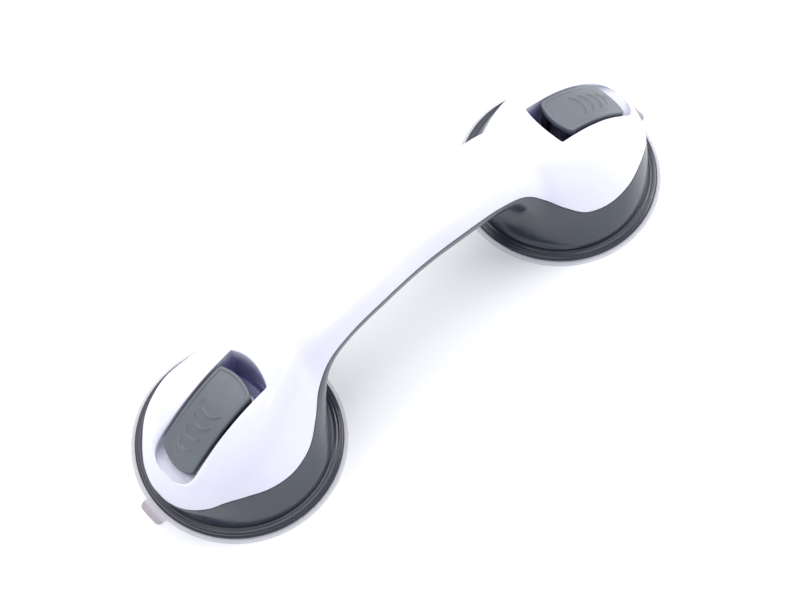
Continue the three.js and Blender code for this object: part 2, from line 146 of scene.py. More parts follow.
# ---- The lever ----
LEVER_HALF_WIDTH = LEVER_HIGH.y
LEVER_SIDE = 1.6  # thickness of its sides
LEVER_CORNER = 1.7
LEVER_EDGE = 0.9
FRAME_WIDTH = 1.3
FRAME_STEP = 0.45
CHEEK_PLACE, CHEEK_WIDTH = 4.3, 3.2

# Its arch seen from the side, as quadratic curves: start, control and end.
ARCH_X = (-10, 12.75, 36)
ARCH_TOP = (59.2, 55.6, 27.6)
ARCH_CEILING = (55, 51.4, 23.4)
ARCH_SIDES = (55, 50.12, 23.4)

# Grip arcs: (apex along the lever, half width, share of full height).
GRIP_ARCS = [(12.4, 6.4, 1), (17.8, 5.9, 1), (23, 5.2, 1), (27.4, 4.3, 0.9), (30.2, 3, 0.4)]
ARC_RISE = 0.7
ARC_SAG = 4.2
ARC_BEND = 2.3  # how sharply an arc turns back at its tips
ARC_WIDTH = 0.55


# ---- Curves ----
def smooth_curve(before, points, after):
    """A centripetal Catmull-Rom curve: takes the place along the list, 0 at the first point."""
    p = np.array([before, *points, after], float)
    p = np.vstack([2 * p[0] - p[1], p, 2 * p[-1] - p[-2]])

    def at(place):
        t = np.asarray(place, float) + 1
        k = np.clip(np.floor(t).astype(int), 0, len(p) - 4)
        w = (t - k)[..., None]
        p0, p1, p2, p3 = (p[k + i] for i in range(4))
        pairs = ((p0, p1), (p1, p2), (p2, p3))
        d0, d1, d2 = (np.sum((b - a) ** 2, -1, keepdims=True) ** 0.25 for a, b in pairs)
        t1 = ((p1 - p0) / d0 - (p2 - p0) / (d0 + d1) + (p2 - p1) / d1) * d1
        t2 = ((p2 - p1) / d1 - (p3 - p1) / (d1 + d2) + (p3 - p2) / d2) * d1
        return p1 + w * t1 + w**2 * (3 * p2 - 3 * p1 - 2 * t1 - t2) + w**3 * (2 * p1 - 2 * p2 + t1 + t2)

    return at


def bezier(a, b, c, d, t):
    t = np.asarray(t)[..., None]
    s = 1 - t
    return s**3 * a + 3 * s * s * t * b + 3 * s * t * t * c + t**3 * d


def smooth_step(t):
    c = np.clip(t, 0, 1)
    return c * c * (3 - 2 * c)


def unit(v):
    size = np.linalg.norm(v, axis=-1, keepdims=True)
    return v / np.where(size < 1e-12, 1, size)


def stacked(x, y, z):
    return np.stack(np.broadcast_arrays(x, y, z), -1)


# ---- The shells' outer surfaces ----
seam_at = smooth_curve(
    (-SEAM[1][0], -SEAM[1][1], SEAM[1][2]),
    [(x, -width, z) for x, width, z in SEAM],
    (SEAM[-2][0], SEAM[-2][1], SEAM[-2][2]),
)
ridge_at = smooth_curve((-RIDGE[1][0], RIDGE[1][1]), RIDGE, (RIDGE[-2][0], 2 * RIDGE[-1][1] - RIDGE[-2][1]))
keel_at = smooth_curve((-KEEL[1][0], KEEL[1][1]), KEEL, (KEEL[-1][0] - 3.4, KEEL[-1][1] - 20))
LAST = len(SEAM) - 1
RIDGE_LINE = ridge_at(np.linspace(0, len(RIDGE) - 1, 6001))
SEAM_PLACES = np.linspace(0, LAST, 14001)
SEAM_LINE = seam_at(SEAM_PLACES)


def ridge_height(x):
    return np.interp(x, RIDGE_LINE[:, 0], RIDGE_LINE[:, 1])


def rise(x):
    """Direction up the upper shell where it leaves the seam."""
    lean = HEAD_LEAN * smooth_step((x - LEAN_START) / (LEAN_END - LEAN_START))
    return stacked(0 * x, np.sin(lean), np.cos(lean))


def upper_from(foot, across):
    x, y, z = (foot[..., i] for i in range(3))
    top = ridge_height(x)
    first = foot + rise(x) * (ARCH_PULL * (top - z))[..., None]
    return bezier(foot, first, stacked(x, ARCH_PULL * y, top), stacked(x, 0 * x, top), across)


def upper_point(place, across):
    """A point of the upper shell on the -y side: across is 0 at the seam and 1 on the ridge."""
    return upper_from(seam_at(place), across)


def lower_end(place):
    """The lower shell's far edge under a seam point, its direction there, and its curve's pull."""
    turn = smooth_step((place - KEEL_END + 1) / 2)
    along = np.clip(place, 0, KEEL_END) / KEEL_END * (len(KEEL) - 1)
    keel = keel_at(along)
    step = unit(keel_at(along + 1e-3) - keel_at(along - 1e-3))
    foot = seam_at(place)
    above = np.arctan2(foot[..., 1], foot[..., 0] - HEAD_X)
    share = np.clip((place - KEEL_END) / (SKIRT_MERGE - KEEL_END), 0, 1)
    angle = -np.pi + (above + np.pi) * share * (2 - share)
    edge = stacked(HEAD_X + SKIRT_RADIUS * np.cos(angle), SKIRT_RADIUS * np.sin(angle), SKIRT_Z)
    down = stacked(
        np.cos(angle) * math.sin(SKIRT_LEAN), np.sin(angle) * math.sin(SKIRT_LEAN), -math.cos(SKIRT_LEAN)
    )
    on_keel = (place <= KEEL_END)[..., None]
    point = np.where(on_keel, stacked(keel[..., 0], 0, keel[..., 1]), edge)
    tangent = np.where(on_keel, stacked(step[..., 0], 0, step[..., 1]), down)
    level = stacked(0 * place, 1, 0)
    heading = unit(level + (tangent - level) * turn[..., None])
    return point, heading, DROP_PULL + (SKIRT_PULL - DROP_PULL) * turn


def lower_point(place, down):
    """A point of the lower shell on the -y side: down is 0 at the seam and 1 at its far edge."""
    foot = seam_at(place)
    along = seam_at(place + 1e-3) - seam_at(place - 1e-3)
    outward = unit(np.cross(along, rise(foot[..., 0])))
    end, heading, pull = lower_end(place)
    reach = end - foot
    length = np.linalg.norm(reach, axis=-1, keepdims=True)
    leave = unit(reach - outward * np.sum(reach * outward, -1, keepdims=True))
    start = foot + leave * SEAM_GAP
    neck = smooth_step((place - NECK_START) / (KEEL_END - NECK_START))[..., None]
    first = start + leave * (HANDLE_PULL + (DROP_PULL - HANDLE_PULL) * neck) * length
    return bezier(start, first, end - heading * pull[..., None] * length, end, down)


def offset_grid(grid, wall):
    """A grid moved by the wall's thickness, square to its surface; the nose moves straight in."""
    normal = unit(np.cross(np.gradient(grid, axis=0), np.gradient(grid, axis=1)))
    normal[np.abs(grid[..., 1]) < 1e-3, 1] = 0
    inner = grid + unit(normal) * wall
    inner[-1] = grid[-1] - np.array([abs(wall), 0, 0])
    return inner


def eased(grid, first, last, rounds=40):
    """The same grid with its stations from first to last smoothed along the handle, free of creases."""
    steps = np.arange(len(grid))
    near = smooth_step((steps - first) / 6) * smooth_step((last - steps) / 6)
    across = np.linspace(0, 1, grid.shape[1])
    weight = (near[:, None] * np.minimum(1, 12 * across * (1 - across)))[..., None]
    out = grid.copy()
    for _ in range(rounds):
        out[1:-1] += weight[1:-1] * (out[:-2] + out[2:] - 2 * out[1:-1]) / 4
    return out


# ---- Making meshes ----
def make_object(name, points, faces):
    """A mesh object from points in millimetres, with shared corners welded and faces turned outwards."""
    mesh = bpy.data.meshes.new(name)
    mesh.from_pydata((np.asarray(points, float).reshape(-1, 3) * MM).tolist(), [], faces)
    shaped = bmesh.new()
    shaped.from_mesh(mesh)
    bmesh.ops.remove_doubles(shaped, verts=shaped.verts, dist=WELD)
    bmesh.ops.dissolve_degenerate(shaped, edges=shaped.edges, dist=SLIVER)
    bmesh.ops.recalc_face_normals(shaped, faces=shaped.faces)
    shaped.to_mesh(mesh)
    shaped.free()
    made = bpy.data.objects.new(name, mesh)
    bpy.context.scene.collection.objects.link(made)
    return made


def grid_faces(rows, columns, offset=0, closed=False):
    """Quads of a grid of points, rows by columns; closed joins the last column to the first."""
    faces = []
    for i in range(rows - 1):
        for j in range(columns if closed else columns - 1):
            k = (j + 1) % columns
            a, b = offset + i * columns, offset + (i + 1) * columns
            faces.append((a + j, b + j, b + k, a + k))
    return faces


def stack(name, loops):
    """A closed solid from loops with the same count of points, capped flat at both ends."""
    loops = np.asarray(loops, float)
    count, size = loops.shape[:2]
    faces = grid_faces(count, size, closed=True)
    faces.append(tuple(range(size)))
    faces.append(tuple((count - 1) * size + j for j in range(size)))
    return make_object(name, loops, faces)


def boolean(base, tools, operation):
    """Joins tools to base or cuts them from it, and removes them."""
    for tool in tools:
        step = base.modifiers.new(tool.name, "BOOLEAN")
        step.object = tool
        step.operation = operation
        step.solver = "MANIFOLD"
    graph = bpy.context.evaluated_depsgraph_get()
    mesh = bpy.data.meshes.new_from_object(base.evaluated_get(graph))
    base.modifiers.clear()
    base.data = mesh
    for tool in tools:
        bpy.data.objects.remove(tool)
    return base


def vertex_points(piece):
    """The x, y and z of a piece's points in millimetres."""
    points = np.empty(len(piece.data.vertices) * 3)
    piece.data.vertices.foreach_get("co", points)
    return points.reshape(-1, 3).T / MM


def store(piece, label, values):
    """Keeps a number for each point of a piece, for its material to read."""
    piece.data.attributes.new(label, "FLOAT", "POINT").data.foreach_set("value", values)


def shade(piece, degrees=35):
    """Smooth shading that keeps edges sharper than an angle crisp."""
    mesh = piece.data
    mesh.polygons.foreach_set("use_smooth", [True] * len(mesh.polygons))
    mesh.set_sharp_from_angle(angle=math.radians(degrees))
    return piece


def finished(piece, node, material, body):
    """Names a piece, gives it its finish, and makes it ride and stand for its CAD node."""
    piece.name = piece.data.name = node + "_fine"
    piece.data.materials.clear()
    piece.data.materials.append(material)
    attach(piece, body)
    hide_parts(node)
    return piece


def moved_copy(source, move):
    made = source.copy()
    made.data = source.data.copy()
    made.data.transform(move)
    return made


def copy_to_end(source, end):
    """A copy of a piece drawn about a head's axis, moved to that end's head."""
    turn = Matrix.Rotation(math.radians(ENDS[end]), 4, "Z")
    made = moved_copy(source, turn @ Matrix.Translation((HEAD_X * MM, 0, 0)))
    bpy.context.scene.collection.objects.link(made)
    return made


# ---- Outlines ----
def rounded(points, radius, steps=4):
    """A closed outline with each corner rounded; radius is one number or one for each corner."""
    p = np.array(points, float)
    radii = np.broadcast_to(np.asarray(radius, float), len(p))
    out = []
    for i, corner in enumerate(p):
        before, after = p[i - 1] - corner, p[(i + 1) % len(p)] - corner
        reach = min(radii[i], 0.45 * np.linalg.norm(before), 0.45 * np.linalg.norm(after))
        if reach < 1e-6:
            out.append(corner)
            continue
        a, b = corner + unit(before) * reach, corner + unit(after) * reach
        out += list(quadratic(a, corner, b, steps))
    return np.array(out)


def resampled(loop, count):
    """The same closed outline with evenly spaced points."""
    closed = np.vstack([loop, loop[:1]])
    along = np.concatenate([[0], np.cumsum(np.linalg.norm(np.diff(closed, axis=0), axis=1))])
    at = np.linspace(0, along[-1], count, endpoint=False)
    return np.stack([np.interp(at, along, closed[:, i]) for i in range(loop.shape[1])], -1)


def outward(loop):
    """Unit normals of a counterclockwise outline."""
    along = np.roll(loop, -1, 0) - np.roll(loop, 1, 0)
    return unit(np.stack([along[:, 1], -along[:, 0]], -1))


def quadratic(a, control, b, steps):
    t = np.linspace(0, 1, steps + 1)[:, None]
    return (1 - t) ** 2 * np.array(a) + 2 * t * (1 - t) * np.array(control) + t * t * np.array(b)


def arc_steps(radius, steps=4):
    """(inset, depth) pairs round a quarter circle, from the flat face's edge to the side."""
    turn = np.linspace(0, math.pi / 2, steps + 1)
    return [(radius * (1 - math.sin(a)), radius * (1 - math.cos(a))) for a in turn]


def slab(name, outline, low, high, edge, place):
    """An outline drawn from low to high with rounded edges; place(u, v, w) gives its points."""
    normal = outward(outline)
    loops = []
    for inset, depth in arc_steps(edge):
        flat = outline - normal * inset
        loops.append(place(flat[:, 0], flat[:, 1], low + depth))
    for inset, depth in reversed(arc_steps(edge)):
        flat = outline - normal * inset
        loops.append(place(flat[:, 0], flat[:, 1], high - depth))
    return stack(name, loops)


def lie_flat(u, v, w):
    return stacked(u, v, w)


def stand_up(u, v, w):
    """For outlines drawn in x and z, and drawn along y."""
    return stacked(u, w, v)


def lathe(name, profile, segments=ROUND):
    """A piece turned about the head's axis from a closed outline of (radius, height)."""
    turn = np.linspace(0, 2 * math.pi, segments, endpoint=False)
    rings = [stacked(r * np.cos(turn), r * np.sin(turn), z) for r, z in profile]
    rings.append(rings[0])
    return make_object(name, rings, grid_faces(len(rings), segments, closed=True))


def rod(name, radius, low, high, x=0, y=0, edge=0.2, segments=SMALL_ROUND):
    """A round bar along Z with rounded ends."""
    turn = np.linspace(0, 2 * math.pi, segments, endpoint=False)
    circle = np.stack([x + radius * np.cos(turn), y + radius * np.sin(turn)], -1)
    return slab(name, circle, low, high, edge, lie_flat)


def cross_rod(name, radius, half_length, edge=0.2):
    """A round bar along Y, on the lever's pin axis."""
    turn = np.linspace(0, 2 * math.pi, SMALL_ROUND, endpoint=False)
    circle = np.stack([radius * np.cos(turn), PIN_Z + radius * np.sin(turn)], -1)
    return slab(name, circle, -half_length, half_length, edge, stand_up)


def rectangle(width, depth, radius):
    x, y = width / 2, depth / 2
    return rounded([(-x, -y), (x, -y), (x, y), (-x, y)], radius)


# ---- The two shells ----
def rounded_start(points, towards, edge=EDGE):
    """Points whose first corner is replaced by a small rounding that ends towards another point."""
    corner, after = points[:, 0], points[:, 1]
    step, side = after - corner, towards - corner
    room = np.minimum(np.linalg.norm(step, axis=-1), np.linalg.norm(side, axis=-1))
    reach = np.minimum(edge, 0.42 * room)[:, None]
    a, b = corner + unit(step) * reach, corner + unit(side) * reach
    arc = [(1 - t) ** 2 * b + 2 * t * (1 - t) * corner + t * t * a for t in np.linspace(0, 1, EDGE_POINTS)]
    return np.concatenate([np.stack(arc, 1), points[:, 1:]], 1)


def mirrored(name, patches):
    """One solid from the patches of its (+x, -y) quarter, each a grid of points."""
    points, faces = [], []
    for patch in patches:
        rows, columns = patch.shape[:2]
        for flip_x in (1, -1):
            for flip_y in (1, -1):
                faces += grid_faces(rows, columns, offset=sum(len(p) for p in points))
                points.append(patch.reshape(-1, 3) * np.array([flip_x, flip_y, 1]))
    return make_object(name, np.concatenate(points), faces)


def station_grid(places, ribs):
    return np.broadcast_arrays(places[:, None], np.linspace(0, 1, ribs + 1)[None, :])


def upper_wall():
    places = np.linspace(0, LAST, LAST * STATIONS + 1)
    place, across = station_grid(places, UPPER_RIBS)
    outer = upper_point(place, across)
    inner = offset_grid(outer, -TOP_WALL)
    outer[0, :, 0] = inner[0, :, 0] = 0
    outer = rounded_start(outer, inner[:, 0])
    return mirrored("upper_wall", [np.concatenate([outer[:, ::-1], inner], 1)])


def lower_wall():
    places = np.linspace(0, LAST, LAST * STATIONS + 1)
    place, down = station_grid(places, LOWER_RIBS)
    keel_rows = int(KEEL_END * STATIONS)
    outer = eased(lower_point(place, down), keel_rows - 14, keel_rows + 18)
    inner = offset_grid(outer, LOWER_WALL)
    outer[0, :, 0] = inner[0, :, 0] = 0
    outer = rounded_start(outer, inner[:, 0])
    skirt = rounded_start(outer[keel_rows:, ::-1], inner[keel_rows:, -1], SKIRT_EDGE)[:, ::-1]
    keel = outer[: keel_rows + 1].copy()
    keel[-1, -1] = skirt[0, -EDGE_POINTS]
    keel_part = np.concatenate([inner[: keel_rows + 1, ::-1], keel], 1)
    skirt_part = np.concatenate([inner[keel_rows:, ::-1], skirt, inner[keel_rows:, -1:]], 1)
    return mirrored("lower_wall", [keel_part, skirt_part])


def surface_height(x, y):
    """The upper shell's outer height over points of a head, about its axis."""
    place = np.interp(x + HEAD_X, SEAM_LINE[:, 0], SEAM_PLACES)
    foot = seam_at(place)
    low, high = np.zeros_like(place), np.ones_like(place)
    for _ in range(30):
        middle = (low + high) / 2
        short = upper_from(foot, middle)[..., 1] < -np.abs(y)
        low, high = np.where(short, middle, low), np.where(short, high, middle)
    return upper_from(foot, high)[..., 2]


def pocket_outline(count=280):
    """The pocket seen from above: a bulging inner end and a rounded outer end."""
    half, inner, outer, tip = POCKET_HALF_WIDTH, POCKET_INNER, POCKET_STRAIGHT, POCKET_TIP
    bulge = quadratic((inner, half), (inner - 5, 0), (inner, -half), 16)[1:-1]
    first = quadratic((outer, -half), (tip, 1 - half), (tip, 0), 12)
    second = quadratic((tip, 0), (tip, half - 1), (outer, half), 12)[1:]
    points = [(inner, half), *bulge, (inner, -half), *first, *second]
    corners = np.zeros(len(points))
    corners[[0, len(bulge) + 1]] = POCKET_CORNER
    return resampled(rounded(points, corners), count)


def pocket_floor(x):
    """The pocket's floor: level under the cam plate, then dropping to the finger scoop."""
    line = np.array([
        (-40, FLOOR_TOP), (11, FLOOR_TOP), (14, FLOOR_TOP - 1), (25, 26),
        (28, 24.9), (33, 24.8), (36, 26), (45, 31),
    ])
    return np.interp(x, line[:, 0], line[:, 1])


def floor_height(x, y):
    """The pocket's floor where it stays under the shell's surface."""
    return np.minimum(pocket_floor(x), surface_height(x, y) - POCKET_COVER)


def cap_rings(outline, height, count=14):
    """Rings from the middle of an outline out to it, each point at the height over it."""
    centre = outline.mean(0)
    rings = []
    for share in np.linspace(0, 1, count + 1):
        flat = centre + (outline - centre) * share
        rings.append(stacked(flat[:, 0], flat[:, 1], height(flat[:, 0], flat[:, 1])))
    return rings


def under_surface(depth):
    return lambda x, y: surface_height(x, y) - depth


def pocket_tub():
    """The pocket's walls and floor as one block whose top ends inside the shell's wall."""
    outline = pocket_outline()
    outline = outline + outward(outline) * POCKET_WALL
    top = under_surface(TOP_WALL / 2)

    def bottom(x, y):
        return np.minimum(pocket_floor(x) - POCKET_WALL, top(x, y) - EDGE)

    return stack("tub", [*cap_rings(outline, bottom), *cap_rings(outline, top)[::-1]])


def foot_rings(outline, foot, reach):
    """Rings of the hollow's floor and of the rounding up to its wall, reach wide and foot high."""
    normal = outward(outline)
    rings = cap_rings(outline - normal * reach[:, None], floor_height)
    for turn in np.linspace(0, math.pi / 2, 11)[1:]:
        flat = outline - normal * (reach * (1 - math.sin(turn)))[:, None]
        base = floor_height(flat[:, 0], flat[:, 1])
        rings.append(stacked(flat[:, 0], flat[:, 1], base + foot * (1 - math.cos(turn))))
    return rings


def rim_rings(outline, rim):
    """Rings that ease the hollow's wall out into the shell's surface, then rise clear above it."""
    normal = outward(outline)
    rings = []
    for turn in np.linspace(0, math.radians(72), 7)[1:]:
        flat = outline + normal * (rim * (1 - math.cos(turn)))[:, None]
        height = surface_height(flat[:, 0], flat[:, 1])
        rings.append(stacked(flat[:, 0], flat[:, 1], height - rim * (1 - math.sin(turn))))
    wide = outline + normal * (rim * 1.6)[:, None]
    rings.append(stacked(wide[:, 0], wide[:, 1], surface_height(wide[:, 0], wide[:, 1]) + 0.55 * rim))
    rings.append(stacked(wide[:, 0], wide[:, 1], CUTTER_TOP))
    return rings


def pocket_cutter():
    """The pocket's hollow, whose roundings grow towards the finger scoop."""
    outline = pocket_outline()
    x, y = outline[:, 0], outline[:, 1]
    brim, floor = surface_height(x, y), floor_height(x, y)
    room = brim - floor
    scooped = smooth_step((x - SCOOP_START) / SCOOP_LENGTH)
    opened = smooth_step((x - RIM_START) / RIM_LENGTH)
    foot = np.minimum(POCKET_FOOT + SCOOP_FOOT * scooped, 0.5 * room)
    rim = np.minimum(POCKET_RIM + SCOOP_RIM * opened, 0.45 * room)
    low, high = floor + foot, brim - rim
    walls = [stacked(x, y, low + (high - low) * share) for share in np.linspace(0, 1, 9)[1:]]
    base = foot_rings(outline, foot, foot + SCOOP_REACH * scooped)
    return stack("hollow", [*base, *walls, *rim_rings(outline, rim)])


def upper_shell():
    shell = upper_wall()
    tub = pocket_tub()
    bosses = [rod("boss", 3.6, RING_HIGH.z + 0.3, FLOOR_TOP - 1, x, y) for x, y in SCREW_PLACES]
    boolean(tub, bosses, "UNION")
    hollow = pocket_cutter()
    bores = [rod("bore", 1.8, 0, SCREW_HIGH.z + 2, x, y) for x, y in SCREW_PLACES]
    bores.append(slab("hole", rectangle(*STEM_HOLE, 0.6), 0, 60, 0.1, lie_flat))
    boolean(hollow, bores, "UNION")
    boolean(shell, [copy_to_end(tub, end) for end in ENDS], "UNION")
    boolean(shell, [copy_to_end(hollow, end) for end in ENDS], "DIFFERENCE")
    bpy.data.objects.remove(tub)
    bpy.data.objects.remove(hollow)
    mark_pocket_shade_depth(shell)
    return shade(shell)


def mark_pocket_shade_depth(shell):
    """Stores how deep each point lies in a pocket, from 0 at the rim to 1, for the painted shade that
    darkens the shell's colour in its pockets.
    """
    x, y, z = vertex_points(shell)
    along = np.abs(x) - HEAD_X
    depth = surface_height(np.clip(along, -HEAD_X, RIDGE[-1][0] - HEAD_X - 0.5), y) - z
    within = (along > POCKET_INNER - 3.6) & (along < POCKET_TIP + 0.5)
    within &= (np.abs(y) < POCKET_HALF_WIDTH + 0.2) & (z > 20)
    # Painted shade: full at the pocket's inner end, about a third as strong along its middle, none at its
    # outer end.
    fade = 0.3 * smooth_step((36 - along) / 30) + 0.7 * smooth_step((1 - along) / 7)
    store(shell, "recess", np.where(within, smooth_step((depth - 0.8) / 11) * fade, 0))


# ---- Pieces of one head ----
def base_ring():
    radius = RING_HIGH.y
    top = SKIRT_Z - 0.6
    low = RING_LOW.z
    web = 7.8
    profile = rounded(
        [
            (9, web), (36, web), (37.5, 5.6), (41, low + 0.3), (radius, low), (radius, low + 0.9),
            (45.6, low + 1.6), (44.9, low + 1.7), (44.5, low + 2.3), (43.4, low + 2.3), (43, top),
            (38.6, top), (37.2, RING_HIGH.z), (9, RING_HIGH.z),
        ],
        [0.3, 1.2, 1.2, 1, 0.2, 0.35, 0.35, 0.2, 0.3, 0.25, 0.25, 0.4, 0.4, 0.3],
    )
    ring = lathe("ring", profile)
    holes = [rod("hole", 2.1, 5, 14, x, y) for x, y in SCREW_PLACES]
    return shade(boolean(ring, holes, "DIFFERENCE"))


def suction_cup():
    lip = CUP_HIGH.y
    top = CUP_HIGH.z
    profile = rounded(
        [
            (0, 3.2), (18, 3.2), (30, 2.3), (38, 0.7), (43.5, 0), (lip - 0.4, 0), (lip, 0.45),
            (lip - 0.3, 0.9), (43, 1.1), (38, 2.3), (30, 4.2), (18, top), (0, top),
        ],
        [0, 6, 5, 4, 2, 0.2, 0.25, 0.25, 2, 3, 5, 5, 0],
        6,
    )
    cup = lathe("cup", profile)
    tip, half = CUP_HIGH.x, 6.5
    outline = rounded([(45, -half), (tip, -half), (tip, half), (45, half)], [0, 2.8, 2.8, 0], 8)
    tab = slab("tab", resampled(outline, 160), 0.1, 1.0, 0.3, lie_flat)
    boolean(cup, [tab], "UNION")
    x, y, _ = vertex_points(cup)
    store(cup, "tab", smooth_step((x - lip) / 1.5) * (np.abs(y) < half + 0.1))
    return shade(cup)


def pull_stem():
    radius = STEM_EYE
    turn = np.linspace(0, math.pi, 25)
    arch = [(radius * math.cos(a), PIN_Z + radius * math.sin(a)) for a in turn]
    outline = np.array([(-radius, 7), (radius, 7), *arch])
    post = slab("post", resampled(outline, 200), -3.8, 3.8, 0.5, stand_up)
    foot = rod("foot", STEM_HIGH.x, STEM_LOW.z, 7.2, edge=0.5, segments=96)
    boolean(post, [foot], "UNION")
    return shade(boolean(post, [cross_rod("bore", PIN_BORE, 8)], "DIFFERENCE"))


def cam_plate():
    side = PLATE_HIGH.x - PLATE_LOW.x
    plate = slab("plate", rectangle(side, side, 1.5), PLATE_LOW.z, PLATE_HIGH.z, 0.25, lie_flat)
    hole = slab("hole", rectangle(*STEM_HOLE, 0.8), PLATE_LOW.z - 4, PLATE_HIGH.z + 4, 0.1, lie_flat)
    return shade(boolean(plate, [hole], "DIFFERENCE"))


def lever_pin():
    return shade(cross_rod("pin", PIN_HIGH.z - PIN_Z, PIN_HIGH.y, 0.4))


def arch_height(control):
    """Height over x of one of the lever's arched lines."""
    line = quadratic((ARCH_X[0], control[0]), (ARCH_X[1], control[1]), (ARCH_X[2], control[2]), 800)
    return lambda x: np.interp(x, line[:, 0], line[:, 1])


def lever_outline(count=600):
    half = LEVER_HALF_WIDTH
    inner = quadratic((-4.8, half), (-9.8, 0), (-4.8, -half), 20)
    outer = quadratic((30.5, -half), (35.5, 0), (30.5, half), 20)
    return resampled(rounded_chain([inner, outer], LEVER_CORNER), count)


def rounded_chain(curves, radius):
    """An outline of curves joined by straight lines, with the corners between them rounded."""
    shortened = []
    for curve in curves:
        along = np.concatenate([[0], np.cumsum(np.linalg.norm(np.diff(curve, axis=0), axis=1))])
        at = np.linspace(radius, along[-1] - radius, 41)
        shortened.append(np.stack([np.interp(at, along, curve[:, i]) for i in (0, 1)], -1))
    out = []
    for k, (curve, short) in enumerate(zip(curves, shortened)):
        following = (k + 1) % len(curves)
        corner, next_corner = curve[-1], curves[following][0]
        step = unit(next_corner - corner) * radius
        out += list(short)
        out += list(quadratic(short[-1], corner, corner + step, 8)[1:])
        out += list(quadratic(next_corner - step, next_corner, shortened[following][0], 8)[:-1])
    return np.array(out)


def grip_height(x, y):
    """Raised crescents, widest at their middles and fading to their tips."""
    height = np.zeros_like(x)
    for apex, half, share in GRIP_ARCS:
        across = np.clip(np.abs(y) / half, 0, 1)
        sag = ARC_SAG * (half / GRIP_ARCS[0][1])
        slope = ARC_BEND * sag / half * across ** (ARC_BEND - 1)
        distance = np.abs(x - apex + sag * across**ARC_BEND) / np.hypot(1, slope)
        width = ARC_WIDTH * np.sqrt(1 - across**2) + 0.3
        bump = smooth_step(1.2 - distance / width) * smooth_step((1 - across) * 5)
        height = np.maximum(height, share * bump)
    return height


def panel_drop(x):
    """How far the lever's panel lies under its border, which fades out towards the outer end."""
    return FRAME_STEP * (1 - 0.85 * smooth_step((x - 8) / 20))


def lever_block():
    """The lever's arch with its border, sunk panel and grip arcs, solid down to its sides' edges."""
    top, bottom = arch_height(ARCH_TOP), arch_height(ARCH_SIDES)
    outline = lever_outline()
    normal = outward(outline)
    loops = cap_rings(outline - normal * EDGE, lambda x, y: bottom(x), 20)
    loops.append(stacked(outline[:, 0], outline[:, 1], bottom(outline[:, 0]) + EDGE))
    for inset, depth in reversed(arc_steps(LEVER_EDGE, 6)):
        flat = outline - normal * inset
        loops.append(stacked(flat[:, 0], flat[:, 1], top(flat[:, 0]) - depth))
    for share in np.linspace(0, 1, 6)[1:]:
        flat = outline - normal * (LEVER_EDGE + 0.1 + (FRAME_WIDTH - LEVER_EDGE + 0.3) * share)
        drop = smooth_step((share - 0.5) * 2) * panel_drop(flat[:, 0])
        loops.append(stacked(flat[:, 0], flat[:, 1], top(flat[:, 0]) - drop))

    def panel_height(x, y):
        return top(x) - panel_drop(x) + ARC_RISE * grip_height(x, y)

    panel = outline - normal * (FRAME_WIDTH + 0.6)
    loops += cap_rings(panel, panel_height, 95)[::-1]
    return stack("lever", loops)


def lever_hollow():
    """The space between the lever's sides, under its ceiling."""
    x = np.linspace(-14, 38, 105)
    y = LEVER_HALF_WIDTH - LEVER_SIDE
    ceiling = arch_height(ARCH_CEILING)(x)
    half = [stacked(x, y - 1, ceiling), stacked(x, y, ceiling - 1), stacked(x, y, 0 * x)]
    other = [points * (1, -1, 1) for points in reversed(half)]
    return stack("between", np.stack([*other, *half], 1))


def lever():
    body = lever_block()
    boolean(body, [lever_hollow()], "DIFFERENCE")
    cheeks = [
        slab("cheek", cheek_outline(), y, y + CHEEK_WIDTH, 0.3, stand_up)
        for y in (CHEEK_PLACE, -CHEEK_PLACE - CHEEK_WIDTH)
    ]
    boolean(body, cheeks, "UNION")
    boolean(body, [cross_rod("bore", PIN_BORE, 8, 0.1)], "DIFFERENCE")
    # Painted shade: the lever's sides darken towards their lower edges, by depth under the arch's top.
    x, _, z = vertex_points(body)
    store(body, "recess", smooth_step((arch_height(ARCH_TOP)(x) - z - 2.2) / 2.5))
    return shade(body)


def cheek_outline():
    """The cam cheek: a spiral about the pin, largest straight below it."""
    high, low, turn_down = 10.9, 6.5, 75
    points = [(-5.5, PIN_Z + 7.5)]
    for turn in np.linspace(90, 0, 37):
        radius = high + (low - high) * min(1, turn / turn_down)
        angle = math.radians(-90 - turn)
        points.append((radius * math.cos(angle), PIN_Z + radius * math.sin(angle)))
    points += [(3.5, PIN_Z - high + 0.6), (9, PIN_Z - 4), (15, PIN_Z - 1), (12, PIN_Z + 2)]
    return resampled(rounded(points, 0.8), 240)


def screw():
    """A pan-head screw with a crossed recess and a real helical thread, point up."""
    radius, pitch, core = 1.5, 1.2, 1.15
    neck = 7.2
    height = np.linspace(neck, SCREW_HIGH.z, 220)
    turn = np.linspace(0, 2 * math.pi, 36, endpoint=False)
    loops = []
    for z in height:
        wave = np.abs(((z - neck) / pitch - turn / (2 * math.pi)) % 1 - 0.5) * 2
        taper = min(1, (SCREW_HIGH.z - z) / 2.2 + 0.25) * min(1, (z - neck) / 1.5)
        r = core + (radius - core) * smooth_step(1.6 * wave - 0.5) * taper
        r = r * min(1, (SCREW_HIGH.z - z) / 1.4 + 0.3)
        loops.append(stacked(r * np.cos(turn), r * np.sin(turn), z))
    shank = stack("shank", loops)
    base = SCREW_LOW.z
    profile = rounded(
        [(0, base), (1.8, base), (2.7, base + 0.35), (3, base + 0.9), (3, 7.5), (0, 7.5)],
        [0, 0.5, 0.5, 0.4, 0.15, 0], 5,
    )
    head = lathe("head", profile, 64)
    boolean(shank, [head], "UNION")
    slots = [
        slab("slot", rectangle(3.6, 0.8, 0.15), base - 2, base + 1.1, 0.1, lie_flat),
        slab("slot", rectangle(0.8, 3.6, 0.15), base - 2, base + 1.1, 0.1, lie_flat),
    ]
    return shade(boolean(shank, slots, "DIFFERENCE"))


